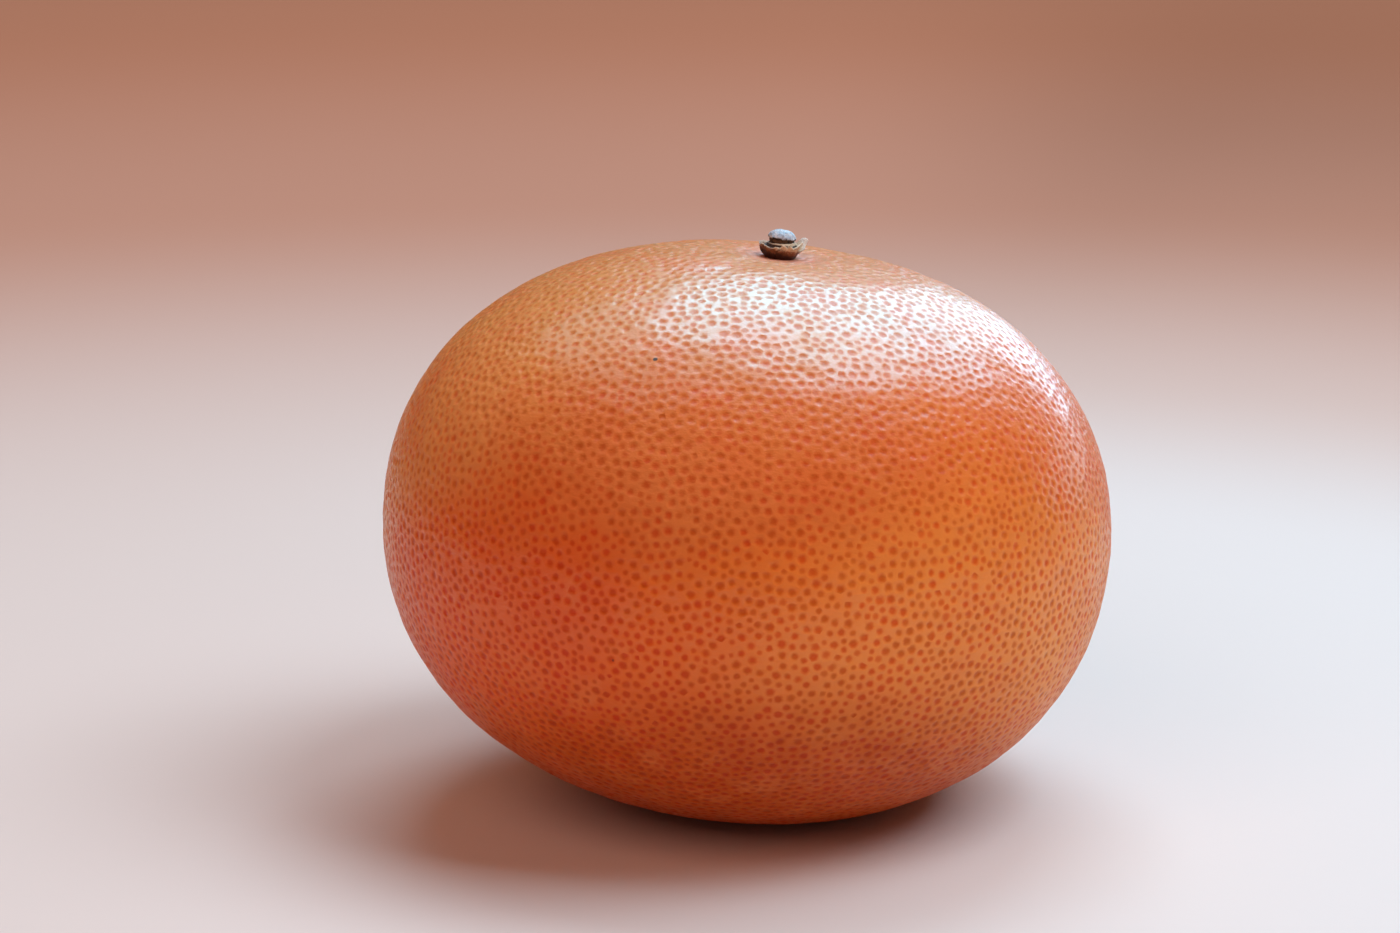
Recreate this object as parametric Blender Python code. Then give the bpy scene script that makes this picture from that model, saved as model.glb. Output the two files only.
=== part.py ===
"""A whole grapefruit as picked: the fruit, the dried calyx at its stem end and the stub of its stem.

Metres, +Z up. The origin is on the flat spot that the fruit rests on, straight below the middle
of the fruit. The fruit's own axis, from its blossom end to its stem, leans a little towards +X.
"""

import math

import bmesh
import bpy
from mathutils import Matrix, Vector

MM = 0.001

# The fruit, measured from its centre. Squareness 2 is an ellipse, and more is boxier.
HALF_WIDTH = 54.6 * MM
HALF_DEPTH = 53.6 * MM
STEM_HALF_HEIGHT = 41.7 * MM
BLOSSOM_HALF_HEIGHT = 43.5 * MM
STEM_SQUARENESS = 2.18
BLOSSOM_SQUARENESS = 2.08
AXIS_LEAN = math.radians(7)

# The weight of the fruit presses its lowest point up by REST_FLATTENING, into a level spot.
# The skin curves into the spot over REST_EDGE of height on either side of its level.
REST_FLATTENING = 1.3 * MM
REST_EDGE = 0.35 * MM

# Low swells that make the fruit less than perfectly round: where (azimuth and latitude in
# degrees about its own axis), how wide (degrees) and how high.
SWELLS = (
    (0, 45, 24, 1.2 * MM),
    (0, -42, 26, 1.2 * MM),
    (180, -42, 26, 1.5 * MM),
    (75, 20, 30, 0.6 * MM),
    (250, -15, 28, 0.5 * MM),
    (150, 35, 22, -0.4 * MM),
)

# The shallow dish round the stem, the dimple in its middle that holds the calyx, and the
# faint ribs on its shoulder, as two ripples of (count, turn in degrees, height).
DISH_DEPTH = 1.0 * MM
DISH_RADIUS = 13.0 * MM
DIMPLE_DEPTH = 0.3 * MM
DIMPLE_RADIUS = 4.6 * MM
RIPPLES = (
    (5, 20, 0.08 * MM),
    (8, 75, 0.06 * MM),
)
RIPPLE_RADIUS = 12.0 * MM
RIPPLE_SPREAD = 6.0 * MM

# The calyx: a lobed cup whose profile runs from under its middle, round its rim, to the floor
# of its hollow, as (radius, height above the dimple).
CLEARANCE = 0.3 * MM
CALYX_RADIUS = 2.85 * MM
CALYX_HEIGHT = 1.9 * MM
CALYX_HOLLOW_RADIUS = 1.95 * MM
CALYX_HOLLOW_FLOOR = 1.3 * MM
LOBE_COUNT = 5
LOBE_REACH = 0.24 * MM
LOBE_TURN = math.radians(22)
LONG_LOBE_REACH = 0.75 * MM
LONG_LOBE_TURN = math.radians(22)
LONG_LOBE_SPREAD = math.radians(17)

# The stub: a narrow neck that stands in the calyx and a wider, domed end where it broke off.
NECK_RADIUS = 1.4 * MM
CAP_RADIUS = 1.9 * MM
CAP_UNDERSIDE = 2.7 * MM
STUB_TOP = 3.95 * MM
STUB_OVAL = 0.08
STUB_LEAN = math.radians(4)

# Mesh fineness. Rings crowd towards the two ends of the fruit by RING_CROWDING.
FRUIT_SEGMENTS = 88
FRUIT_RINGS = 44
RING_CROWDING = 0.4
CALYX_SEGMENTS = 60
STUB_SEGMENTS = 32


def clear_scene():
    for existing in list(bpy.data.objects):
        bpy.data.objects.remove(existing, do_unlink=True)


def make_material(name, colour, roughness, metallic=0.0):
    material = bpy.data.materials.new(name)
    material.use_nodes = True
    principled = material.node_tree.nodes["Principled BSDF"]
    principled.inputs["Base Color"].default_value = (*colour, 1.0)
    principled.inputs["Roughness"].default_value = roughness
    principled.inputs["Metallic"].default_value = metallic
    return material


def rind_material():
    return make_material("rind", (0.78, 0.27, 0.09), 0.38)


def calyx_material():
    return make_material("calyx", (0.20, 0.12, 0.07), 0.75)


def stub_material():
    return make_material("stem_stub", (0.33, 0.34, 0.35), 0.8)


def direction_at(azimuth, latitude):
    across = math.cos(latitude)
    return Vector((across * math.cos(azimuth), across * math.sin(azimuth), math.sin(latitude)))


def swell_height(direction):
    total = 0.0
    for azimuth, latitude, spread, height in SWELLS:
        peak = direction_at(math.radians(azimuth), math.radians(latitude))
        total += height * math.exp((direction.dot(peak) - 1.0) / math.radians(spread) ** 2)
    return total


def stem_end_relief(across, azimuth):
    """How far the skin stands out near the stem: dish and dimple sink it, ripples rib it."""
    dish = DISH_DEPTH * math.exp(-((across / DISH_RADIUS) ** 2))
    dimple = DIMPLE_DEPTH * math.exp(-((across / DIMPLE_RADIUS) ** 4))
    band = math.exp(-(((across - RIPPLE_RADIUS) / RIPPLE_SPREAD) ** 2))
    ribs = 0.0
    for count, turn, height in RIPPLES:
        ribs += height * band * math.cos(count * azimuth + math.radians(turn))
    return ribs - dish - dimple


def skin_point(direction):
    """The point of the skin along a unit direction from the fruit's centre, its axis along +Z."""
    if direction.z >= 0.0:
        half_height, squareness = STEM_HALF_HEIGHT, STEM_SQUARENESS
    else:
        half_height, squareness = BLOSSOM_HALF_HEIGHT, BLOSSOM_SQUARENESS
    sideways = math.hypot(direction.x / HALF_WIDTH, direction.y / HALF_DEPTH)
    upright = abs(direction.z) / half_height
    radius = (sideways**squareness + upright**squareness) ** (-1.0 / squareness)
    radius += swell_height(direction)
    if direction.z > 0.0:
        across = radius * math.hypot(direction.x, direction.y)
        radius += stem_end_relief(across, math.atan2(direction.y, direction.x)) * direction.z
    return direction * radius


def turned_solid(rings, bottom, top):
    """A closed mesh from rings of points, the lowest first, with a point at each end."""
    mesh = bmesh.new()
    loops = [[mesh.verts.new(point) for point in ring] for ring in rings]
    bottom_point = mesh.verts.new(bottom)
    top_point = mesh.verts.new(top)
    count = len(rings[0])
    for here in range(count):
        after = (here + 1) % count
        mesh.faces.new((bottom_point, loops[0][after], loops[0][here]))
        mesh.faces.new((top_point, loops[-1][here], loops[-1][after]))
        for lower, upper in zip(loops, loops[1:]):
            mesh.faces.new((lower[here], lower[after], upper[after], upper[here]))
    return mesh


def add_object(name, mesh, material, parent):
    for face in mesh.faces:
        face.smooth = True
    data = bpy.data.meshes.new(name)
    mesh.to_mesh(data)
    mesh.free()
    data.materials.append(material)
    made = bpy.data.objects.new(name, data)
    made.parent = parent
    bpy.context.scene.collection.objects.link(made)
    return made


def ring_latitude(ring):
    share = ring / FRUIT_RINGS
    crowded = share - RING_CROWDING * math.sin(math.tau * share) / math.tau
    return math.pi * (crowded - 0.5)


def fruit_mesh():
    rings = []
    for ring in range(1, FRUIT_RINGS):
        latitude = ring_latitude(ring)
        azimuths = [math.tau * step / FRUIT_SEGMENTS for step in range(FRUIT_SEGMENTS)]
        rings.append([skin_point(direction_at(azimuth, latitude)) for azimuth in azimuths])
    return turned_solid(rings, skin_point(Vector((0, 0, -1))), skin_point(Vector((0, 0, 1))))


def pressed_height(above):
    """The height above the table of skin that would be this far above it if it kept its shape."""
    if above <= -REST_EDGE:
        return 0.0
    if above < REST_EDGE:
        return (above + REST_EDGE) ** 2 / (4.0 * REST_EDGE)
    return above


def flatten_rest_spot(mesh, lean):
    """Presses the lowest part of the leaning fruit level, and returns how high its middle then is."""
    table = min((lean @ vertex.co).z for vertex in mesh.verts) + REST_FLATTENING
    for vertex in mesh.verts:
        point = lean @ vertex.co
        point.z = table + pressed_height(point.z - table)
        vertex.co = lean.inverted() @ point
    return -table


def fruit_axis(lean, height):
    """An empty in the middle of the fruit, leaning as the fruit does, that carries every piece."""
    axis = bpy.data.objects.new("fruit_axis", None)
    axis.matrix_world = Matrix.Translation((0, 0, height)) @ lean.to_4x4()
    bpy.context.scene.collection.objects.link(axis)
    return axis


def lobed_radius(radius, azimuth):
    """A calyx radius stretched into lobes, in full at the rim and not at all at the middle."""
    lobes = LOBE_REACH * math.cos(LOBE_COUNT * (azimuth - LOBE_TURN))
    turn = math.remainder(azimuth - LONG_LOBE_TURN, math.tau)
    long_lobe = LONG_LOBE_REACH * math.exp(-((turn / LONG_LOBE_SPREAD) ** 2))
    return radius + (lobes + long_lobe) * (radius / CALYX_RADIUS) ** 3


def calyx_profile():
    rim_middle = 0.5 * (CALYX_RADIUS + CALYX_HOLLOW_RADIUS)
    return (
        (0.55 * CALYX_RADIUS, CLEARANCE),
        (0.82 * CALYX_RADIUS, CLEARANCE + 0.12 * MM),
        (0.97 * CALYX_RADIUS, 0.50 * CALYX_HEIGHT),
        (CALYX_RADIUS, 0.78 * CALYX_HEIGHT),
        (0.95 * CALYX_RADIUS, 0.97 * CALYX_HEIGHT),
        (rim_middle, CALYX_HEIGHT),
        (CALYX_HOLLOW_RADIUS, 0.5 * (CALYX_HEIGHT + CALYX_HOLLOW_FLOOR)),
        (0.85 * CALYX_HOLLOW_RADIUS, CALYX_HOLLOW_FLOOR),
    )


def calyx_mesh():
    rings = []
    for radius, height in calyx_profile():
        ring = []
        for step in range(CALYX_SEGMENTS):
            azimuth = math.tau * step / CALYX_SEGMENTS
            reach = lobed_radius(radius, azimuth)
            ring.append(Vector((reach * math.cos(azimuth), reach * math.sin(azimuth), height)))
        rings.append(ring)
    return turned_solid(rings, Vector((0, 0, CLEARANCE)), Vector((0, 0, CALYX_HOLLOW_FLOOR)))


def stub_profile():
    return (
        (0.92 * NECK_RADIUS, CALYX_HOLLOW_FLOOR + CLEARANCE),
        (NECK_RADIUS, CALYX_HOLLOW_FLOOR + 0.5 * MM),
        (0.96 * NECK_RADIUS, CAP_UNDERSIDE - 0.25 * MM),
        (0.95 * CAP_RADIUS, CAP_UNDERSIDE),
        (CAP_RADIUS, CAP_UNDERSIDE + 0.35 * MM),
        (0.90 * CAP_RADIUS, STUB_TOP - 0.42 * MM),
        (0.65 * CAP_RADIUS, STUB_TOP - 0.14 * MM),
        (0.33 * CAP_RADIUS, STUB_TOP - 0.03 * MM),
    )


def stub_mesh():
    rings = []
    for radius, height in stub_profile():
        ring = []
        for step in range(STUB_SEGMENTS):
            azimuth = math.tau * step / STUB_SEGMENTS
            reach = radius * (1.0 + STUB_OVAL * math.cos(2.0 * azimuth))
            ring.append(Vector((reach * math.cos(azimuth), reach * math.sin(azimuth), height)))
        rings.append(ring)
    foot = Vector((0, 0, CALYX_HOLLOW_FLOOR + CLEARANCE))
    mesh = turned_solid(rings, foot, Vector((0, 0, STUB_TOP)))
    bmesh.ops.rotate(
        mesh,
        verts=mesh.verts[:],
        cent=Vector((0, 0, CAP_UNDERSIDE)),
        matrix=Matrix.Rotation(STUB_LEAN, 3, "Y"),
    )
    return mesh


def main():
    clear_scene()
    lean = Matrix.Rotation(AXIS_LEAN, 3, "Y")
    fruit = fruit_mesh()
    height = flatten_rest_spot(fruit, lean)
    axis = fruit_axis(lean, height)
    stem_end = skin_point(Vector((0, 0, 1)))
    add_object("fruit", fruit, rind_material(), axis)
    calyx = add_object("calyx", calyx_mesh(), calyx_material(), axis)
    calyx.location = stem_end
    stub = add_object("stem_stub", stub_mesh(), stub_material(), axis)
    stub.location = stem_end


main()
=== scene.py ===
"""The looks of a whole grapefruit: its dimpled, gland-dotted rind, dried calyx and stem stub.

Everything is in metres, +Z up, in the frame of the CAD model. MM turns millimetres into metres.
"""

import math

import bmesh
import bpy
import numpy as np
from mathutils import Matrix, Vector, noise
from mathutils.bvhtree import BVHTree
from mathutils.kdtree import KDTree


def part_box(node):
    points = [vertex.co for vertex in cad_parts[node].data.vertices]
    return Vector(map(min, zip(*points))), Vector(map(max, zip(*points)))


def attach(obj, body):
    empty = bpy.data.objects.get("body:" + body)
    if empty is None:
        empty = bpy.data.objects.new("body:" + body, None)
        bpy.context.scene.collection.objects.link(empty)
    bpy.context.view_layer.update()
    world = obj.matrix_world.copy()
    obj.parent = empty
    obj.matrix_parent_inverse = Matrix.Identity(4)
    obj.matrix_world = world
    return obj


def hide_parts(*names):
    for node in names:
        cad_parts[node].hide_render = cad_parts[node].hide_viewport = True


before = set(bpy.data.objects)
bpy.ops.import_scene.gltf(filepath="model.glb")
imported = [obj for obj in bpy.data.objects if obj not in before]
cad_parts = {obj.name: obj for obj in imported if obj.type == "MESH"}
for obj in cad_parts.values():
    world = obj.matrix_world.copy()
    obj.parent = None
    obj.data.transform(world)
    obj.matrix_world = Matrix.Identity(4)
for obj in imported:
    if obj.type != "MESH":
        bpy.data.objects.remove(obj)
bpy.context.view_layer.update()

MM = 0.001
SEED = 20

# Oil glands: how many dot the rind, and what share are the small ones that fill the gaps.
GLAND_COUNT = 13200
SMALL_SHARE = 0.40

# How they lie: at even steps along a spiral, each put out of place by about SCATTER of the
# fruit's half size, then pushed apart in rounds. A round looks at each gland's nearest
# NEIGHBOURS and moves it by PUSH of the room it lacks. A small one asks for SMALL_ROOM of the
# room that a large one asks for.
LATITUDE_STEPS = 2001
GOLDEN_ANGLE = math.pi * (3.0 - math.sqrt(5.0))
SCATTER = 0.012
SPREADING_ROUNDS = 9
NEIGHBOURS = 9
PUSH = 0.4
SMALL_ROOM = 0.72

# The dimple of each gland: its depth and how much that varies, how far it reaches, and where
# the ring of points lies that rounds a large one, at most MOST_RING_SHARE of the way out.
LARGE_DEPTH = 0.105 * MM
SMALL_DEPTH = 0.055 * MM
DEPTH_VARIES = (0.6, 1.3)
DIMPLE_RADIUS = 0.68 * MM
GLAND_RING = 0.52 * MM
MOST_RING_SHARE = 0.55

# The coloured dot of each gland: its size and how much that varies.
LARGE_DOT = 0.66 * MM
SMALL_DOT = 0.53 * MM
DOT_VARIES = (0.82, 1.15)

# How far from the middle of the stem the rind is smooth, before its dimples begin to show.
STEM_SMOOTH = 3.0 * MM

# Slow unevenness of the rind between the glands: (wavelength, height) of each kind of wave,
# and the stretch that makes all of them longer sideways than upwards.
WAVES = (
    (14.0 * MM, 0.10 * MM),
    (4.0 * MM, 0.090 * MM),
    (2.0 * MM, 0.035 * MM),
)
WAVE_STRETCH = (0.75, 0.75, 1.5)

# The same stretch for the ripples and the wax, which are only in the rind's material.
RIPPLE_STRETCH = (0.7, 0.7, 1.5)

# Broad colours of the rind: azimuth from +X, latitude and reach in degrees, share, and colour.
PATCHES = (
    (215, 42, 75, 0.80, (0.86, 0.39, 0.100)),
    (262, 20, 50, 0.75, (0.68, 0.150, 0.034)),
    (228, -14, 50, 0.80, (0.78, 0.105, 0.007)),
    (272, -10, 34, 0.50, (0.90, 0.215, 0.018)),
    (305, -14, 48, 0.75, (0.90, 0.300, 0.055)),
    (333, -8, 26, 0.60, (0.92, 0.35, 0.085)),
    (205, 30, 24, 0.50, (0.78, 0.28, 0.085)),
    # Painted shade: darkens the top of the fruit, where the lamps from above light the rind most.
    (90, 90, 62, 0.85, (0.68, 0.300, 0.085)),
    # Painted shade: darkens the underside, where little light reaches near the floor.
    (268, -58, 58, 0.95, (0.54, 0.075, 0.002)),
    (80, 30, 70, 0.60, (0.84, 0.32, 0.065)),
    (120, -15, 50, 0.60, (0.78, 0.15, 0.025)),
    (20, 5, 45, 0.60, (0.76, 0.18, 0.030)),
)

# The rind's other colours. The two inks of the dots darken the colour that is under them.
GROUND_DEEP = (0.74, 0.17, 0.028)
GROUND_LIGHT = (0.80, 0.22, 0.040)
BLUSH = (0.78, 0.125, 0.030)
TAN = (0.80, 0.29, 0.075)
STEM_SKIN = (0.70, 0.33, 0.27)
BROWN_INK = (0.74, 0.47, 0.25)
RED_INK = (0.83, 0.40, 0.27)
SPECK_COLOUR = (0.10, 0.03, 0.015)
NICK_COLOUR = (0.03, 0.012, 0.008)

# Where the rind has a tiny dark nick: azimuth from +X and latitude in degrees.
NICK = (250, 47.5)

# The stem: how far its axis leans, the gap that the CAD model leaves under the calyx, and the
# azimuth of the long sepal.
AXIS_LEAN = math.radians(7)
CALYX_CLEARANCE = 0.3 * MM
LONG_SEPAL = math.radians(22)

# Profiles of the cup and of the stub, as (radius, height above the rind) in millimetres, and
# how far each rises or leans to one side, per millimetre.
CUP_PROFILE = (
    (0.0, -0.12),
    (1.60, -0.12),
    (2.20, 0.05),
    (2.55, 0.55),
    (2.82, 1.10),
    (3.02, 1.60),
    (3.08, 1.95),
    (2.95, 2.06),
    (2.72, 1.85),
    (2.42, 1.55),
    (2.18, 1.85),
    (2.04, 2.28),
    (1.90, 2.36),
    (1.76, 2.05),
    (0.0, 1.85),
)
CUP_SLANT = 0.10
STUB_PROFILE = (
    (0.0, 1.30),
    (1.45, 1.35),
    (1.60, 1.90),
    (1.70, 2.45),
    (1.72, 2.84),
    (1.84, 2.88),
    (1.94, 3.00),
    (1.90, 3.26),
    (1.62, 3.72),
    (1.00, 4.10),
    (0.0, 4.24),
)
STUB_SLANT = 0.03

# A turned piece: points round it, steps between two points of its profile, and the radius in
# millimetres that keeps the points on its axis apart.
TURNED_SEGMENTS = 160
PROFILE_STEPS = 9
LEAST_RADIUS = 0.004

# Dried sepals: turn from the long one in degrees, then how far out their tips reach, their
# width and how high their tips are, in millimetres, and how far they twist in degrees.
SEPALS = (
    (0, 4.30, 2.1, 2.50, 75),
    (70, 3.15, 2.2, 2.35, 10),
    (141, 3.30, 2.5, 2.35, -12),
    (175, 3.25, 1.3, 2.05, 25),
    (214, 3.30, 2.3, 1.90, -15),
    (245, 3.40, 1.2, 1.65, 20),
    (272, 2.85, 1.6, 2.30, 30),
    (292, 3.35, 2.2, 1.95, 15),
    (322, 3.55, 1.4, 2.05, 40),
)

# Every sepal: how far out and how high its root is, and its thickness, in millimetres, and the
# steps along and across it.
SEPAL_ROOT_REACH = 2.05
SEPAL_ROOT_HEIGHT = 0.25
SEPAL_THICKNESS = 0.09
SEPAL_STEPS = 28
SEPAL_LANES = 10

# Colours of the calyx, from the painted shade at its foot to its papery rim and the tip of the
# long sepal, then the painted shade in the gap under the rim, and spots.
CALYX_PAINTED_SHADE = (0.040, 0.010, 0.006)
CALYX_RED = (0.27, 0.12, 0.060)
CALYX_PAPER = (0.74, 0.62, 0.47)
CALYX_TIP = (0.78, 0.80, 0.78)
CALYX_GAP_SHADE = (0.06, 0.03, 0.02)
CALYX_SPOT = (0.07, 0.04, 0.025)

# Colours of the stub's neck and of its worn end.
NECK_BLACK = (0.030, 0.022, 0.018)
NECK_BROWN = (0.16, 0.10, 0.065)
WORN_DARK = (0.36, 0.47, 0.64)
WORN_PALE = (0.64, 0.74, 0.88)

# The dusty rose of the far walls, and how bright they are as a light next to how they look.
WALL_COLOUR = (0.42, 0.20, 0.13)
WALL_LIGHT = 0.38

# The floor: a disc just below the fruit, its colours near and far, with painted light that makes
# it lighter and bluer on the right near the fruit, and the shade of its right.
FLOOR_RADIUS = 6.0
FLOOR_HEIGHT = -0.05 * MM
FLOOR_SHADED_LEFT = (0.71, 0.69, 0.71)
FLOOR_LIT_RIGHT = (0.78, 0.86, 0.94)
FLOOR_BEHIND = (0.53, 0.305, 0.24)
FLOOR_FAR = (0.50, 0.235, 0.155)
RIGHT_SHADE = (0.76, 0.76, 0.75)

# The lamps: azimuth from +Y towards +X and elevation, in degrees; distance from LAMP_AIM, width
# and height; watts; colour; and what they are for. A diffuse lamp makes no highlight, and a
# glossy one makes only highlights, so that the highlights leave the shadows as they are.
LAMP_AIM = (0.0, 0.0, 0.04)
LAMPS = (
    ("softbox", 104, 56, 3.2, 2.0, 2.0, 66.0, (0.88, 0.97, 1.0), "diffuse"),
    ("skylight", 12, 68, 3.2, 1.8, 1.8, 44.0, (0.88, 0.97, 1.0), "diffuse"),
    ("window", 28, 56, 1.6, 1.40, 1.30, 57.0, (0.20, 0.72, 1.0), "glossy"),
    ("low_window", 28, 20, 1.6, 0.65, 0.80, 13.0, (0.35, 0.76, 1.0), "glossy"),
    ("glow", 352, 72, 1.6, 1.90, 1.70, 21.0, (0.20, 0.74, 1.0), "glossy"),
    ("rim", 52, 6, 1.6, 0.90, 0.40, 2.2, (0.55, 0.85, 1.0), "glossy"),
    ("fill", 205, 42, 1.6, 1.4, 0.9, 7.0, (1.0, 0.52, 0.36), "diffuse"),
)

# The camera: how far above the level and how far away it is, what it looks at, and its lens.
CAMERA_ELEVATION = math.radians(13)
CAMERA_DISTANCE = 0.490
CAMERA_AIM = (-0.00704, 0.0, 0.05158)
CAMERA_LENS = 83.4
SENSOR_WIDTH = 36.0


def in_millimetres(place):
    return tuple(value / MM for value in place)


def fruit_direction(azimuth, latitude):
    """A unit vector from the fruit's middle: azimuth from +X towards +Y, both in degrees."""
    turn, rise = math.radians(azimuth), math.radians(latitude)
    level = math.cos(rise)
    return level * math.cos(turn), level * math.sin(turn), math.sin(rise)


# ---------------------------------------------------------------- shader building blocks


class Shader:
    """A material's node tree, with short ways to add what the materials below are made of."""

    def __init__(self, name):
        self.material = bpy.data.materials.new(name)
        self.material.use_nodes = True
        self.tree = self.material.node_tree
        self.surface = self.tree.nodes["Principled BSDF"]

    def add(self, kind, **settings):
        node = self.tree.nodes.new(kind)
        for name, value in settings.items():
            setattr(node, name, value)
        return node

    def feed(self, socket, value):
        """Links a socket to another node's output, or sets it to a constant."""
        if isinstance(value, bpy.types.NodeSocket):
            self.tree.links.new(value, socket)
        else:
            socket.default_value = value

    def set(self, **values):
        """Gives the surface's sockets values or links, by their names with _ for a space."""
        for name, value in values.items():
            self.feed(self.surface.inputs[name.replace("_", " ")], value)

    def math(self, operation, *values):
        node = self.add("ShaderNodeMath", operation=operation)
        for socket, value in zip(node.inputs, values):
            self.feed(socket, value)
        return node.outputs[0]

    def product(self, first, *others):
        """All of these values multiplied together."""
        total = first
        for value in others:
            total = self.math("MULTIPLY", total, value)
        return total

    def vector(self, operation, *values):
        node = self.add("ShaderNodeVectorMath", operation=operation)
        for socket, value in zip(node.inputs, values):
            self.feed(socket, value)
        scalar = operation in ("DISTANCE", "LENGTH", "DOT_PRODUCT")
        return node.outputs["Value" if scalar else "Vector"]

    def part(self, vector, axis):
        """A vector's X, Y or Z, for an axis of 0, 1 or 2."""
        node = self.add("ShaderNodeSeparateXYZ")
        self.feed(node.inputs[0], vector)
        return node.outputs[axis]

    def object_place(self):
        """Object coordinates in metres."""
        return self.add("ShaderNodeTexCoord").outputs["Object"]

    def millimetres(self):
        """Object coordinates in millimetres."""
        node = self.add("ShaderNodeVectorMath", operation="SCALE")
        self.feed(node.inputs[0], self.object_place())
        node.inputs["Scale"].default_value = 1.0 / MM
        return node.outputs["Vector"]

    def attribute(self, name, output):
        return self.add("ShaderNodeAttribute", attribute_name=name).outputs[output]

    def noise(self, place, size, detail=2.0, roughness=0.5):
        """Noise from 0 to 1 whose features are about size millimetres across."""
        node = self.add("ShaderNodeTexNoise")
        self.feed(node.inputs["Vector"], place)
        node.inputs["Scale"].default_value = 1.0 / size
        node.inputs["Detail"].default_value = detail
        node.inputs["Roughness"].default_value = roughness
        return node.outputs[0]

    def cells(self, place, size):
        """How far the nearest of the points is that are scattered about size millimetres apart."""
        node = self.add("ShaderNodeTexVoronoi")
        self.feed(node.inputs["Vector"], place)
        node.inputs["Scale"].default_value = 1.0 / size
        return node.outputs["Distance"]

    def step(self, value, start, end, low=0.0, high=1.0):
        """low before start, high after end, and a smooth step between."""
        node = self.add("ShaderNodeMapRange", interpolation_type="SMOOTHSTEP")
        for name, given in (
            ("Value", value),
            ("From Min", start),
            ("From Max", end),
            ("To Min", low),
            ("To Max", high),
        ):
            self.feed(node.inputs[name], given)
        return node.outputs[0]

    def blend(self, share, first, second, how="MIX"):
        """Two colours mixed by share."""
        node = self.add("ShaderNodeMix", data_type="RGBA", blend_type=how)
        self.feed(node.inputs["Factor"], share)
        colours = [socket for socket in node.inputs if socket.type == "RGBA"]
        for socket, colour in zip(colours, (first, second)):
            self.feed(socket, colour if isinstance(colour, bpy.types.NodeSocket) else (*colour, 1))
        return next(socket for socket in node.outputs if socket.type == "RGBA")

    def bump(self, height):
        """A normal from a height in millimetres."""
        node = self.add("ShaderNodeBump")
        node.inputs["Strength"].default_value = 1.0
        node.inputs["Distance"].default_value = MM
        self.feed(node.inputs["Height"], height)
        return node.outputs[0]


# ---------------------------------------------------------------- the rind's shape


def smooth_skin(node):
    """A tree for finding the smooth skin under a CAD node's facets."""
    mesh = bmesh.new()
    mesh.from_mesh(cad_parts[node].data)
    bmesh.ops.remove_doubles(mesh, verts=mesh.verts[:], dist=0.001 * MM)
    bmesh.ops.join_triangles(
        mesh,
        faces=mesh.faces[:],
        angle_face_threshold=math.radians(20),
        angle_shape_threshold=math.radians(60),
    )
    data = bpy.data.meshes.new("skin_guide")
    mesh.to_mesh(data)
    mesh.free()
    guide = bpy.data.objects.new("skin_guide", data)
    bpy.context.scene.collection.objects.link(guide)
    subdivision = guide.modifiers.new("smooth", "SUBSURF")
    subdivision.levels = 2
    subdivision.render_levels = 2
    tree = BVHTree.FromObject(guide, bpy.context.evaluated_depsgraph_get())
    bpy.data.objects.remove(guide)
    bpy.data.meshes.remove(data)
    return tree


def scattered(half_sizes, random):
    """Points spread evenly over an ellipsoid of these half sizes, each a little out of place."""
    latitude = np.linspace(-0.5 * math.pi, 0.5 * math.pi, LATITUDE_STEPS)
    waist, height = math.sqrt(half_sizes[0] * half_sizes[1]), half_sizes[2]
    slant = np.hypot(waist * np.sin(latitude), height * np.cos(latitude))
    area = np.cumsum(np.cos(latitude) * slant)
    shares = (np.arange(GLAND_COUNT) + 0.5) / GLAND_COUNT
    latitude = np.interp(shares * area[-1], area, latitude)
    azimuth = np.arange(GLAND_COUNT) * GOLDEN_ANGLE
    level = np.cos(latitude)
    unit = np.stack([level * np.cos(azimuth), level * np.sin(azimuth), np.sin(latitude)], axis=1)
    unit += random.normal(scale=SCATTER, size=unit.shape)
    unit /= np.linalg.norm(unit, axis=1, keepdims=True)
    return unit * half_sizes


def nearest_others(points):
    """The indices of each point's nearest NEIGHBOURS."""
    tree = KDTree(len(points))
    for index, point in enumerate(points):
        tree.insert(point, index)
    tree.balance()
    found = [tree.find_n(point, NEIGHBOURS + 1)[1:] for point in points]
    return np.array([[hit[1] for hit in hits] for hits in found])


def spread_out(points, room, half_sizes):
    """Pushes points apart over the ellipsoid until each has about the room it asks for."""
    area = 4.0 * math.pi * np.mean([a * b for a, b in zip(half_sizes, np.roll(half_sizes, 1))])
    spacing = math.sqrt(area / len(points) * 2.0 / math.sqrt(3.0) / np.mean(room**2))
    for _ in range(SPREADING_ROUNDS):
        near = nearest_others(points)
        apart = points[:, None, :] - points[near]
        distance = np.linalg.norm(apart, axis=2, keepdims=True) + 1e-9
        wanted = spacing * 0.5 * (room[:, None] + room[near])[:, :, None]
        push = (apart / distance * np.clip(1.0 - distance / wanted, 0.0, 1.0)).sum(axis=1)
        points = points + PUSH * spacing * push
        points /= np.linalg.norm(points / half_sizes, axis=1, keepdims=True)
    return points


def gland_triangles(directions):
    """The triangles that join each gland to its neighbours, each listed as seen from outside."""
    hull = bmesh.new()
    for direction in directions:
        hull.verts.new(direction)
    hull.verts.ensure_lookup_table()
    bmesh.ops.convex_hull(hull, input=hull.verts[:])
    hull.verts.index_update()
    bmesh.ops.triangulate(hull, faces=hull.faces[:])
    triangles = np.array([[vertex.index for vertex in face.verts] for face in hull.faces])
    hull.free()
    corners = directions[triangles]
    inward = np.einsum("ij,ij->i", np.cross(corners[:, 0], corners[:, 1]), corners[:, 2]) < 0.0
    triangles[inward] = triangles[inward][:, ::-1]
    return triangles


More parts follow.
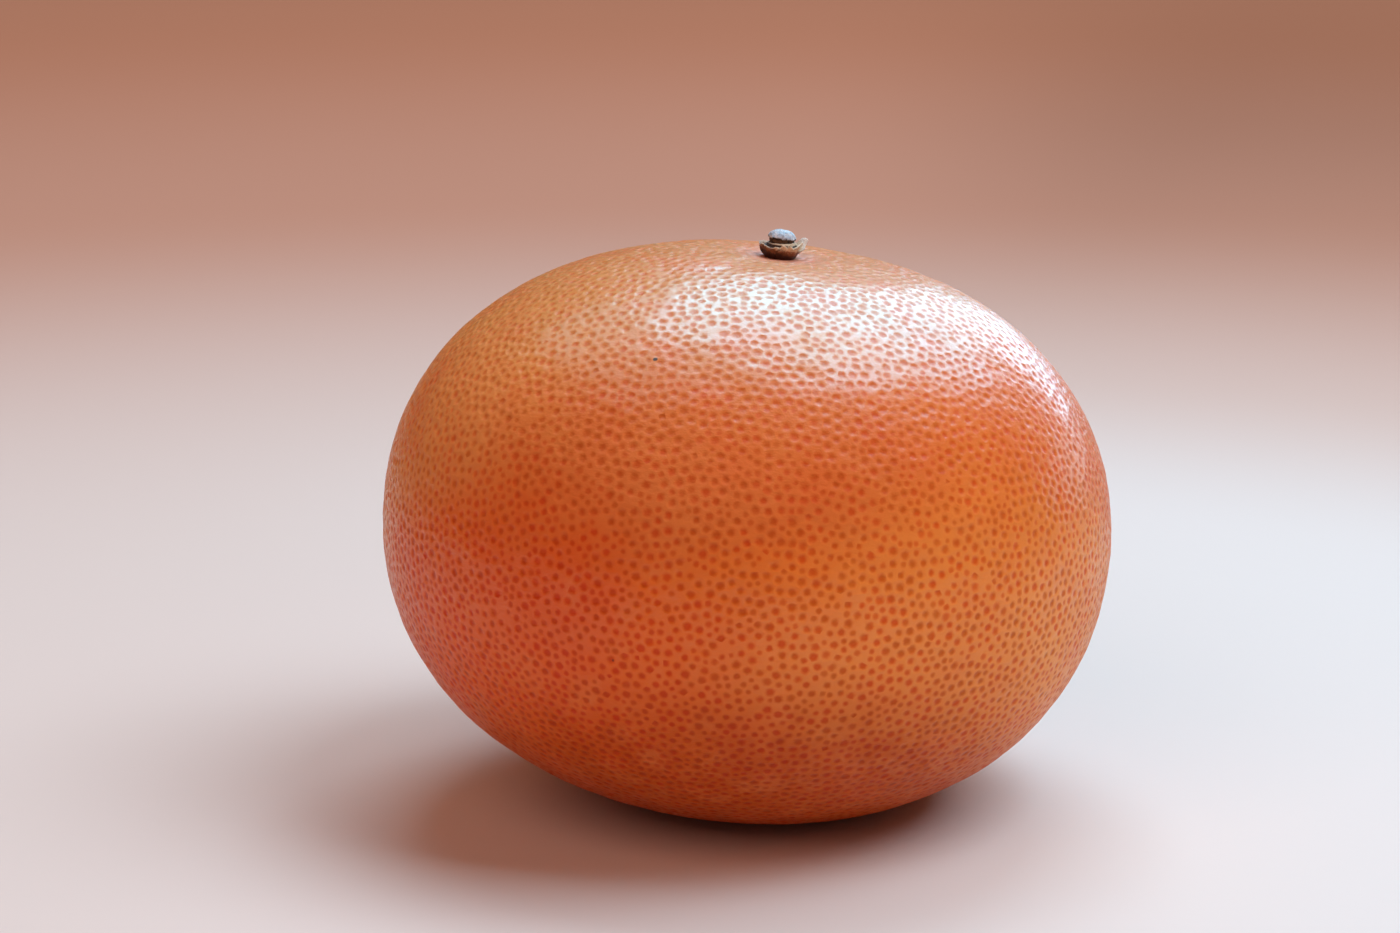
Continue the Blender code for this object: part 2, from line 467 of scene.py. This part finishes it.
def next_wedges(triangles):
    """For each triangle corner, the corner of the next triangle round the same gland."""
    start = triangles.reshape(-1)
    end = np.roll(triangles, -1, axis=1).reshape(-1)
    before = np.roll(triangles, 1, axis=1).reshape(-1)
    keys = start * GLAND_COUNT + end
    order = np.argsort(keys)
    return order[np.searchsorted(keys[order], start * GLAND_COUNT + before)]


def unevenness(points):
    """How far the rind's slow waves lift each point, given from the fruit's middle."""
    heights = np.zeros(len(points))
    for turn, (wavelength, height) in enumerate(WAVES):
        shift = Vector((17.0 * turn, 5.0, 3.0))
        for index, point in enumerate(points * WAVE_STRETCH):
            heights[index] += height * noise.noise(Vector(point) / wavelength + shift)
    return heights


class Rind:
    """The rind as one mesh: a dimple for each gland, joined along the ridges between them.

    Triangles join the glands' middles, and each has a ridge point in its own middle. A wedge is
    what lies between a gland and two ridge points, so that there is one for each triangle
    corner. The wedges of a large gland have a ring point each, on the way to the ridge.
    """

    def __init__(self):
        low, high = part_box("fruit")
        self.middle = np.array((low + high) / 2)
        self.half_sizes = np.array((high - low) / 2)
        self.skin = smooth_skin("fruit")
        random = np.random.default_rng(SEED)
        self.small = random.random(GLAND_COUNT) < SMALL_SHARE
        room = np.where(self.small, SMALL_ROOM, 1.0)
        self.glands = spread_out(scattered(self.half_sizes, random), room, self.half_sizes)
        self.depth = np.where(self.small, SMALL_DEPTH, LARGE_DEPTH)
        self.depth = self.depth * random.uniform(*DEPTH_VARIES, GLAND_COUNT)
        self.dot = np.where(self.small, SMALL_DOT, LARGE_DOT)
        self.dot = self.dot * random.uniform(*DOT_VARIES, GLAND_COUNT)
        self.tint = random.random(GLAND_COUNT)
        self.triangles = gland_triangles(self.glands / self.half_sizes)
        self.wedge_gland = self.triangles.reshape(-1)
        self.ringed = ~self.small[self.wedge_gland]

    def on_skin(self, points):
        """Points moved along the line from the fruit's middle onto its smooth skin."""
        origin = Vector(self.middle)
        found = [self.skin.ray_cast(origin, Vector(point))[0] for point in points]
        return np.array(found) - self.middle

    def mesh_points(self):
        """The glands' middles, then the ridge points, then the ring points."""
        ridge_points = self.glands[self.triangles].mean(axis=1)
        wedge_middle = self.glands[self.wedge_gland]
        spoke = np.repeat(ridge_points, 3, axis=0) - wedge_middle
        reach = np.linalg.norm(spoke, axis=1)
        ring_radius = np.minimum(GLAND_RING, MOST_RING_SHARE * reach)
        ring_points = (wedge_middle + spoke * (ring_radius / reach)[:, None])[self.ringed]
        ring_fall = np.exp(-((ring_radius / DIMPLE_RADIUS) ** 2))
        ring_sink = (self.depth[self.wedge_gland] * ring_fall)[self.ringed]
        sink = np.concatenate([self.depth, np.zeros(len(ridge_points)), ring_sink])

        points = self.on_skin(np.concatenate([self.glands, ridge_points, ring_points]))
        outward = points / np.linalg.norm(points, axis=1, keepdims=True)
        foot, _ = stem_place()
        from_stem = np.linalg.norm(points + self.middle - np.array(foot), axis=1)
        kept = np.clip((from_stem - STEM_SMOOTH) / STEM_SMOOTH, 0.0, 1.0)
        points += outward * ((unevenness(points) - sink) * kept)[:, None]
        points += self.middle
        points[:, 2] = np.maximum(points[:, 2], 0.0)
        return points

    def mesh_faces(self):
        """The faces of every wedge, and the gland that each face belongs to."""
        after = next_wedges(self.triangles)
        ridge = GLAND_COUNT + np.repeat(np.arange(len(self.triangles)), 3)
        ring = GLAND_COUNT + len(self.triangles) + np.cumsum(self.ringed) - 1
        next_ridge, next_ring = ridge[after], ring[after]
        faces, owners = [], []
        for wedge, gland in enumerate(self.wedge_gland):
            edge = (ridge[wedge], next_ridge[wedge])
            if self.ringed[wedge]:
                inner = (ring[wedge], next_ring[wedge])
                faces.append((gland, *inner))
                faces.append((inner[0], *edge, inner[1]))
                owners += (gland, gland)
            else:
                faces.append((gland, *edge))
                owners.append(gland)
        return faces, np.array(owners)

    def build(self):
        """The rind's object, whose faces know the middle, dot size and tint of their gland."""
        points = self.mesh_points()
        faces, owners = self.mesh_faces()
        data = bpy.data.meshes.new("rind")
        data.from_pydata(points.tolist(), [], faces)
        data.shade_smooth()
        for name, kind, values in (
            ("gland_centre", "FLOAT_VECTOR", points[owners]),
            ("gland_dot", "FLOAT", self.dot[owners] / MM),
            ("gland_faint", "FLOAT", self.small[owners]),
            ("gland_tint", "FLOAT", self.tint[owners]),
        ):
            attribute = data.attributes.new(name, kind, "FACE")
            field = "vector" if kind == "FLOAT_VECTOR" else "value"
            attribute.data.foreach_set(field, np.asarray(values, np.float32).ravel())
        add_cube_map(data, points - self.middle)
        made = bpy.data.objects.new("rind", data)
        bpy.context.scene.collection.objects.link(made)
        return made


def add_cube_map(data, directions):
    """A UV map that unwraps a ball-like mesh onto a cube's six sides, laid out three by two."""
    loop_vertex = np.empty(len(data.loops), np.int32)
    data.loops.foreach_get("vertex_index", loop_vertex)
    sizes = np.empty(len(data.polygons), np.int32)
    data.polygons.foreach_get("loop_total", sizes)
    loop_face = np.repeat(np.arange(len(sizes)), sizes)
    unit = directions / np.abs(directions).max(axis=0)
    middles = np.zeros((len(sizes), 3))
    np.add.at(middles, loop_face, unit[loop_vertex])
    axis = np.argmax(np.abs(middles), axis=1)
    below = middles[np.arange(len(sizes)), axis] < 0.0
    side_axis = axis[loop_face]
    own = unit[loop_vertex]
    loops = np.arange(len(loop_vertex))
    main = np.abs(own[loops, side_axis])
    across = np.arctan2(own[loops, (side_axis + 1) % 3], main) * 4.0 / math.pi
    along = np.arctan2(own[loops, (side_axis + 2) % 3], main) * 4.0 / math.pi
    inset = 0.97
    u = (side_axis + 0.5 + 0.5 * inset * across) / 3.0
    v = (below[loop_face] + 0.5 + 0.5 * inset * along) / 2.0
    layer = data.uv_layers.new(name="OFBake")
    layer.uv.foreach_set("vector", np.stack([u, v], axis=1).astype(np.float32).ravel())


# ---------------------------------------------------------------- the stem's shape


def stem_place():
    """Where the rind meets the calyx, and the direction that the stem points."""
    axis = Vector((math.sin(AXIS_LEAN), 0.0, math.cos(AXIS_LEAN)))
    corners = [vertex.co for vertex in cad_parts["calyx"].data.vertices]
    lowest = min(corner.dot(axis) for corner in corners)
    under = [corner for corner in corners if corner.dot(axis) < lowest + 0.01 * MM]
    middle = sum(under, Vector()) / len(under)
    return middle - axis * CALYX_CLEARANCE, axis


def smoothed(profile):
    """A curve through a list of (radius, height) points."""
    points = [Vector(point) for point in profile]
    points = [points[0], *points, points[-1]]
    curve = []
    for before, start, end, after in zip(points, points[1:], points[2:], points[3:]):
        for step in range(PROFILE_STEPS):
            t = step / PROFILE_STEPS
            curve.append(
                0.5
                * (
                    2.0 * start
                    + (end - before) * t
                    + (2.0 * before - 5.0 * start + 4.0 * end - after) * t * t
                    + (3.0 * start - before - 3.0 * end + after) * t**3
                )
            )
    return [*curve, points[-1]]


def grain(point, size, seed=0.0):
    """Smooth noise from about -1 to 1 at a point in millimetres."""
    return noise.fractal(point / size + Vector((seed, 2.0 * seed, 0.0)), 0.7, 2.0, 4)


def polar(radius, azimuth, height):
    return Vector((radius * math.cos(azimuth), radius * math.sin(azimuth), height))


def turned_piece(profile, shaped):
    """A turned mesh, where shaped moves each (radius, height, azimuth) to a point."""
    mesh = bmesh.new()
    rings = []
    for radius, height in smoothed(profile):
        ring = []
        for step in range(TURNED_SEGMENTS):
            azimuth = math.tau * step / TURNED_SEGMENTS
            ring.append(mesh.verts.new(shaped(max(radius, LEAST_RADIUS), height, azimuth)))
        rings.append(ring)
    for lower, upper in zip(rings, rings[1:]):
        for here in range(TURNED_SEGMENTS):
            after = (here + 1) % TURNED_SEGMENTS
            mesh.faces.new((lower[here], lower[after], upper[after], upper[here]))
    mesh.faces.new(rings[0][::-1])
    mesh.faces.new(rings[-1])
    return mesh


def cup_point(radius, height, azimuth):
    """The calyx cup: lobed and ragged at the rim, wrinkled all over."""
    rim = max(0.0, min(1.0, (radius - 1.9) / 0.9)) * max(0.0, min(1.0, height / 1.2))
    lobes = 0.20 * math.cos(5.0 * (azimuth - LONG_SEPAL)) * rim
    around = Vector((math.cos(azimuth), math.sin(azimuth), 0.0))
    ragged = grain(around * 1.2, 0.45, 3.0) * rim
    reach = radius + lobes + 0.20 * ragged
    lift = CUP_SLANT * reach * math.cos(azimuth) * min(1.0, max(0.0, height))
    point = polar(reach, azimuth, height + lift + 0.38 * ragged)
    wrinkle = 0.07 * grain(Vector((azimuth * 3.0, height * 0.8, radius)), 0.35, 7.0)
    return point + around * wrinkle + Vector((0.0, 0.0, wrinkle))


def stub_point(radius, height, azimuth):
    """The stub: a fibrous neck under a worn, slightly oval end that leans a little."""
    around = Vector((math.cos(azimuth), math.sin(azimuth), 0.0))
    fibres = grain(Vector((azimuth * 4.0, height * 0.35, 0.0)), 0.5, 11.0)
    lumps = grain(polar(radius, azimuth, height), 0.9, 5.0)
    swelling = (1.0 + 0.07 * math.cos(2.0 * azimuth)) + 0.04 * fibres + 0.04 * lumps
    pitted = 0.10 * grain(polar(radius, azimuth, 0.0), 0.7, 23.0) if height > 3.5 else 0.0
    point = around * radius * swelling + Vector((0.0, 0.0, height + pitted))
    return point + Vector((STUB_SLANT * (height - 2.0), 0.0, -STUB_SLANT * point.x))


def sepal_side(mesh, side, azimuth, length, width, rise, twist, seed):
    """Rows of points, from root to tip, side millimetres out from the sepal's inner surface."""
    rows = []
    for step in range(SEPAL_STEPS + 1):
        t = step / SEPAL_STEPS
        reach = SEPAL_ROOT_REACH + (length - SEPAL_ROOT_REACH) * t**1.25
        lift = CUP_SLANT * reach * math.cos(azimuth) * min(1.0, 2.0 * t)
        height = SEPAL_ROOT_HEIGHT + (rise - SEPAL_ROOT_HEIGHT) * t**0.85 + lift
        narrowing = (1.0 - t**4) ** 0.8
        half = 0.5 * width * narrowing * (1.0 + 0.3 * grain(Vector((t, seed, 0)), 0.2))
        slope = twist * t
        row = []
        for lane in range(SEPAL_LANES + 1):
            u = 2.0 * lane / SEPAL_LANES - 1.0
            turn = azimuth + u * half * math.cos(slope) / reach
            ragged = 0.07 * grain(Vector((u * half, 3.0 * t, seed)), 0.3)
            out = reach + 0.12 * u * u * half + ragged + side * math.cos(slope)
            up = height + u * half * math.sin(slope) + 0.6 * ragged + 0.4 * side
            row.append(mesh.verts.new(polar(out, turn + side * math.sin(slope) / reach, up)))
        rows.append(row)
    return rows


def add_sepal(mesh, *shape):
    """A dried sepal: a thin tapering tongue that climbs the cup and curls out over its rim."""
    inner = sepal_side(mesh, 0.0, *shape)
    outer = sepal_side(mesh, SEPAL_THICKNESS, *shape)
    for step in range(SEPAL_STEPS):
        after = step + 1
        for lane in range(SEPAL_LANES):
            corners = ((step, lane), (step, lane + 1), (after, lane + 1), (after, lane))
            mesh.faces.new([outer[i][j] for i, j in corners])
            mesh.faces.new([inner[i][j] for i, j in corners[::-1]])
        for lane, order in ((0, 1), (SEPAL_LANES, -1)):
            edge = (inner[step][lane], outer[step][lane], outer[after][lane], inner[after][lane])
            mesh.faces.new(edge[::order])
    for lane in range(SEPAL_LANES):
        after = lane + 1
        mesh.faces.new((inner[0][lane], inner[0][after], outer[0][after], outer[0][lane]))
        mesh.faces.new((outer[-1][lane], outer[-1][after], inner[-1][after], inner[-1][lane]))


def calyx_mesh():
    """The cup and its sepals."""
    mesh = turned_piece(CUP_PROFILE, cup_point)
    for number, (turn, length, width, rise, twist) in enumerate(SEPALS):
        azimuth = LONG_SEPAL + math.radians(turn)
        add_sepal(mesh, azimuth, length, width, rise, math.radians(twist), 4.0 * number)
    return mesh


def stub_mesh():
    return turned_piece(STUB_PROFILE, stub_point)


def add_stem_piece(node, mesh, material):
    """Stands a mesh made in millimetres about the stem's axis on the rind."""
    foot, _ = stem_place()
    lean = Matrix.Rotation(AXIS_LEAN, 4, "Y")
    mesh.transform(Matrix.Translation(foot) @ lean @ Matrix.Scale(MM, 4))
    bmesh.ops.recalc_face_normals(mesh, faces=mesh.faces[:])
    data = bpy.data.meshes.new(node + "_dried")
    mesh.to_mesh(data)
    mesh.free()
    data.shade_smooth()
    data.materials.append(material)
    made = bpy.data.objects.new(node + "_dried", data)
    bpy.context.scene.collection.objects.link(made)
    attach(made, "root")
    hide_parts(node)


# ---------------------------------------------------------------- the rind's material


def patch(shader, direction, azimuth, latitude, reach):
    """1 round one direction from the fruit's middle, fading to 0 at reach, all in degrees."""
    peak = fruit_direction(azimuth, latitude)
    nearness = shader.vector("DOT_PRODUCT", direction, peak)
    return shader.step(nearness, math.cos(math.radians(reach)), 1.0)


def ground_colour(shader, place, direction):
    """The rind between the glands: orange, blotched with gold, coral, peach and brown, with
    painted shade darkening its top and its underside.
    """
    colour = shader.blend(shader.noise(place, 30.0, 1.0), GROUND_DEEP, GROUND_LIGHT)
    mottle = shader.noise(place, 6.0, 3.0, 0.6)
    for azimuth, latitude, reach, share, tone in PATCHES:
        near = patch(shader, direction, azimuth, latitude, reach)
        ragged = shader.product(near, shader.math("ADD", mottle, 0.5))
        amount = shader.step(ragged, 0.0, 1.0, 0.0, share)
        colour = shader.blend(amount, colour, tone)
    blush = shader.step(shader.noise(place, 9.0, 2.0, 0.55), 0.45, 0.75, 0.0, 0.25)
    colour = shader.blend(blush, colour, BLUSH)
    tan = shader.step(shader.noise(place, 4.5, 2.0, 0.55), 0.45, 0.80, 0.0, 0.22)
    return shader.blend(tan, colour, TAN)


def stem_skin(shader, colour, place, from_stem):
    """Adds paler, pinkish skin round the stem, with an uneven edge."""
    edge = shader.math("ADD", from_stem, shader.product(shader.noise(place, 3.0), 3.0))
    return shader.blend(shader.step(edge, 4.0, 10.5, 0.75, 0.0), colour, STEM_SKIN)


def gland_value(shader, name):
    return shader.attribute("gland_" + name, "Fac")


def gland_share(shader, place):
    """The distance to the middle of the gland, as a share of its dot's size, a little uneven."""
    centre = shader.attribute("gland_centre", "Vector")
    distance = shader.vector("DISTANCE", shader.object_place(), centre)
    dot_size = shader.product(gland_value(shader, "dot"), MM)
    uneven = shader.math("MULTIPLY_ADD", shader.noise(place, 0.55, 1.0), 0.5, -0.25)
    return shader.math("ADD", shader.math("DIVIDE", distance, dot_size), uneven)


def gland_dots(shader, colour, place, share, rise, from_stem):
    """Adds the dots, brown or red in clusters, fainter near the stem, and fainter high on the
    fruit where the highlight falls, as a painted highlight, and stronger low on it.
    """
    faint = shader.math("MULTIPLY_ADD", gland_value(shader, "faint"), -0.12, 1.0)
    varied = shader.math("MULTIPLY_ADD", gland_value(shader, "tint"), 0.28, 0.75)
    dot = shader.product(
        shader.step(share, 0.30, 1.25, 1.0, 0.0),
        shader.product(faint, varied),
        # Painted highlight: the dots fade high on the fruit, where the highlight washes over them.
        shader.step(rise, -0.3, 0.7, 1.15, 0.75),
        shader.step(from_stem, 3.0, 7.0, 0.3, 1.0),
    )
    cluster = shader.step(shader.noise(place, 5.0, 1.0), 0.38, 0.62)
    return shader.blend(dot, colour, shader.blend(cluster, BROWN_INK, RED_INK), "MULTIPLY")


def blemishes(shader, colour, place, direction):
    """Adds a few dark specks, and the nick."""
    speck = shader.step(shader.cells(place, 12.0), 0.012, 0.020, 0.7, 0.0)
    colour = shader.blend(speck, colour, SPECK_COLOUR)
    from_nick = shader.vector("DISTANCE", direction, fruit_direction(*NICK))
    return shader.blend(shader.step(from_nick, 0.0045, 0.0075, 0.9, 0.0), colour, NICK_COLOUR)


def rind_relief(shader, place, level, share):
    """A height in millimetres: a pit in each gland, fine grain, and ripples over them all."""
    shallower = shader.math("MULTIPLY_ADD", gland_value(shader, "faint"), -0.4, 1.0)
    pit = shader.product(shader.step(share, 0.0, 1.7, -0.10, 0.0), shallower)
    fine = shader.product(shader.noise(place, 0.28, 2.0), 0.014)
    ripple = shader.product(shader.noise(level, 1.5, 3.0, 0.6), 0.16)
    return shader.math("ADD", shader.math("ADD", pit, fine), ripple)


def waxy_coat(shader, level, share, rise):
    """How much wax lies on the rind: patchy, thin in the glands and low on the fruit."""
    waxy = shader.product(shader.step(share, 0.45, 1.35), shader.noise(level, 1.1, 3.0, 0.65))
    coat = shader.step(waxy, 0.15, 0.60, 0.09, 0.70)
    return shader.product(coat, shader.step(rise, -0.45, 0.25, 0.25, 1.0))


def rind_material(middle, half_sizes):
    """Waxy orange skin with a dot and a pit in every gland."""
    shader = Shader("rind_skin")
    place = shader.millimetres()
    offset = shader.vector("SUBTRACT", place, in_millimetres(middle))
    scaled = shader.vector("DIVIDE", offset, in_millimetres(half_sizes))
    direction = shader.vector("NORMALIZE", scaled)
    rise = shader.part(direction, 2)
    foot, _ = stem_place()
    from_stem = shader.vector("DISTANCE", place, in_millimetres(foot))
    level = shader.vector("MULTIPLY", place, RIPPLE_STRETCH)
    share = gland_share(shader, place)

    colour = ground_colour(shader, place, direction)
    colour = stem_skin(shader, colour, place, from_stem)
    colour = gland_dots(shader, colour, place, share, rise, from_stem)
    colour = blemishes(shader, colour, place, direction)
    shader.set(
        Base_Color=colour,
        Roughness=shader.step(shader.noise(place, 2.5, 3.0), 0.3, 0.7, 0.36, 0.48),
        Normal=shader.bump(rind_relief(shader, place, level, share)),
        Subsurface_Weight=0.15,
        Subsurface_Radius=(1.0, 0.35, 0.12),
        Subsurface_Scale=1.2 * MM,
        Specular_IOR_Level=0.14,
        Coat_Weight=waxy_coat(shader, level, share, rise),
        Coat_Roughness=0.20,
    )
    return shader.material


# ---------------------------------------------------------------- the stem's materials


def from_foot(shader, place):
    """Millimetres from the stem's foot: as a vector, and measured along the stem."""
    foot, axis = stem_place()
    offset = shader.vector("SUBTRACT", place, in_millimetres(foot))
    return offset, shader.vector("DOT_PRODUCT", offset, tuple(axis))


def calyx_material():
    """Dried sepals: reddish below, pale and papery at the rim and at the long tip, with painted
    shade at the foot, on the left side and in the gap under the rim.
    """
    shader = Shader("dried_calyx")
    place = shader.millimetres()
    offset, height = from_foot(shader, place)
    _, axis = stem_place()
    radial = shader.vector("LENGTH", shader.vector("CROSS_PRODUCT", offset, tuple(axis)))
    streak = shader.noise(place, 0.45, 4.0, 0.65)
    ragged = shader.math("MULTIPLY_ADD", streak, 1.6, -0.8)
    level = shader.math("ADD", height, ragged)
    # Painted shade: the near-black foot reaches higher on the left side, away from the light.
    level = shader.math("MULTIPLY_ADD", shader.part(offset, 0), 0.12, level)
    colour = shader.blend(shader.step(level, 0.6, 1.5), CALYX_PAINTED_SHADE, CALYX_RED)
    colour = shader.blend(shader.step(level, 1.35, 1.9), colour, CALYX_PAPER)
    # Painted shade: a dark band in the gap between the cup's wall and its rim.
    gap_shade = shader.product(
        shader.step(radial, 2.50, 2.78, 1.0, 0.0),
        shader.step(height, 1.3, 1.6),
        shader.step(height, 2.05, 2.25, 1.0, 0.0),
    )
    colour = shader.blend(gap_shade, colour, CALYX_GAP_SHADE)
    colour = shader.blend(shader.step(radial, 3.15, 3.60), colour, CALYX_TIP)
    spots = shader.step(shader.noise(place, 0.25, 2.0), 0.60, 0.72, 0.0, 0.6)
    shader.set(
        Base_Color=shader.blend(spots, colour, CALYX_SPOT),
        Roughness=shader.step(streak, 0.3, 0.7, 0.62, 0.85),
        Normal=shader.bump(shader.product(shader.noise(place, 0.18, 4.0, 0.65), 0.09)),
    )
    return shader.material


def stub_material():
    """Weathered wood: nearly black on the neck, pale blue-grey on the worn end."""
    shader = Shader("weathered_stub")
    place = shader.millimetres()
    _, height = from_foot(shader, place)
    mottle = shader.noise(place, 0.5, 4.0, 0.6)
    level = shader.math("MULTIPLY_ADD", mottle, 0.8, shader.math("ADD", height, -0.4))
    neck = shader.blend(shader.step(mottle, 0.4, 0.6), NECK_BLACK, NECK_BROWN)
    worn = shader.blend(shader.step(mottle, 0.35, 0.65), WORN_DARK, WORN_PALE)
    shader.set(
        Base_Color=shader.blend(shader.step(level, 2.95, 3.20), neck, worn),
        Roughness=shader.step(mottle, 0.3, 0.7, 0.6, 0.85),
        Normal=shader.bump(shader.product(shader.noise(place, 0.2, 4.0, 0.7), 0.10)),
    )
    return shader.material


# ---------------------------------------------------------------- floor, lights and camera


def floor_material():
    """Pale and a little bluish on the right, pinker on the left, as painted light falling from the
    right, fading to dusty rose far off.

    Beyond the lamps' reach it glows as the walls do, so that the horizon hardly shows.
    """
    shader = Shader("pale_floor")
    place = shader.millimetres()
    away = shader.vector("LENGTH", place)
    sideways = shader.part(place, 0)
    # Painted light: near the fruit the floor is lit more on the right than on the left.
    side = shader.step(sideways, -150.0, 150.0)
    side = shader.product(side, shader.step(away, 190.0, 340.0, 1.0, 0.0))
    colour = shader.blend(side, FLOOR_SHADED_LEFT, FLOOR_LIT_RIGHT)
    colour = shader.blend(shader.step(away, 150.0, 640.0), colour, FLOOR_BEHIND)
    colour = shader.blend(shader.step(away, 520.0, 1300.0), colour, FLOOR_FAR)
    right = shader.step(shader.math("DIVIDE", sideways, away), 0.03, 0.24)
    right = shader.product(right, shader.step(away, 250.0, 900.0))
    colour = shader.blend(right, colour, RIGHT_SHADE, "MULTIPLY")
    wall = shader.step(away, 900.0, 2500.0)
    shader.set(
        Base_Color=shader.blend(wall, colour, (0.0, 0.0, 0.0)),
        Emission_Color=(*WALL_COLOUR, 1.0),
        Emission_Strength=wall,
        Roughness=0.45,
        Normal=shader.bump(shader.product(shader.noise(place, 3.0, 2.0), 0.02)),
        Specular_IOR_Level=0.0,
    )
    return shader.material


def add_floor():
    mesh = bmesh.new()
    bmesh.ops.create_circle(mesh, cap_ends=True, radius=FLOOR_RADIUS, segments=96)
    data = bpy.data.meshes.new("floor")
    mesh.to_mesh(data)
    mesh.free()
    floor = bpy.data.objects.new("floor", data)
    floor.location.z = FLOOR_HEIGHT
    data.materials.append(floor_material())
    bpy.context.scene.collection.objects.link(floor)


def lamp_direction(azimuth, elevation):
    """A unit vector: azimuth in degrees from +Y towards +X, elevation above the horizon."""
    turn, rise = math.radians(azimuth), math.radians(elevation)
    level = math.cos(rise)
    return Vector((level * math.sin(turn), level * math.cos(turn), math.sin(rise)))


def add_lamp(name, azimuth, elevation, distance, width, height, power, colour, purpose):
    light = bpy.data.lights.new(name, "AREA")
    light.shape = "RECTANGLE"
    light.size = width
    light.size_y = height
    light.energy = power
    light.color = colour
    lamp = bpy.data.objects.new(name, light)
    aim = Vector(LAMP_AIM)
    lamp.location = aim + lamp_direction(azimuth, elevation) * distance
    lamp.rotation_euler = (aim - lamp.location).to_track_quat("-Z", "Y").to_euler()
    lamp.visible_camera = False
    lamp.visible_diffuse = purpose == "diffuse"
    lamp.visible_glossy = purpose == "glossy"
    bpy.context.scene.collection.objects.link(lamp)


def add_world():
    """Dusty rose all round, much dimmer as a light than it looks, as far walls are."""
    world = bpy.data.worlds.new("studio")
    world.use_nodes = True
    tree = world.node_tree
    background = tree.nodes["Background"]
    background.inputs["Color"].default_value = (*WALL_COLOUR, 1.0)
    path = tree.nodes.new("ShaderNodeLightPath")
    strength = tree.nodes.new("ShaderNodeMapRange")
    strength.inputs["To Min"].default_value = WALL_LIGHT
    strength.inputs["To Max"].default_value = 1.0
    tree.links.new(path.outputs["Is Camera Ray"], strength.inputs["Value"])
    tree.links.new(strength.outputs[0], background.inputs["Strength"])
    bpy.context.scene.world = world


def add_camera():
    """The camera, in front of the fruit and a little above it."""
    camera = bpy.data.objects.new("camera", bpy.data.cameras.new("camera"))
    camera.data.lens = CAMERA_LENS
    camera.data.sensor_width = SENSOR_WIDTH
    back = Vector((0.0, -math.cos(CAMERA_ELEVATION), math.sin(CAMERA_ELEVATION)))
    camera.location = Vector(CAMERA_AIM) + back * CAMERA_DISTANCE
    camera.rotation_euler = (-back).to_track_quat("-Z", "Y").to_euler()
    bpy.context.scene.collection.objects.link(camera)
    bpy.context.scene.camera = camera


# ---------------------------------------------------------------- the scene


def add_rind():
    shape = Rind()
    rind = shape.build()
    rind.data.materials.append(rind_material(shape.middle, shape.half_sizes))
    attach(rind, "root")
    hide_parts("fruit")


def main():
    bpy.context.scene.view_settings.view_transform = "Standard"
    add_rind()
    add_stem_piece("calyx", calyx_mesh(), calyx_material())
    add_stem_piece("stem_stub", stub_mesh(), stub_material())
    add_floor()
    for lamp in LAMPS:
        add_lamp(*lamp)
    add_world()
    add_camera()


main()
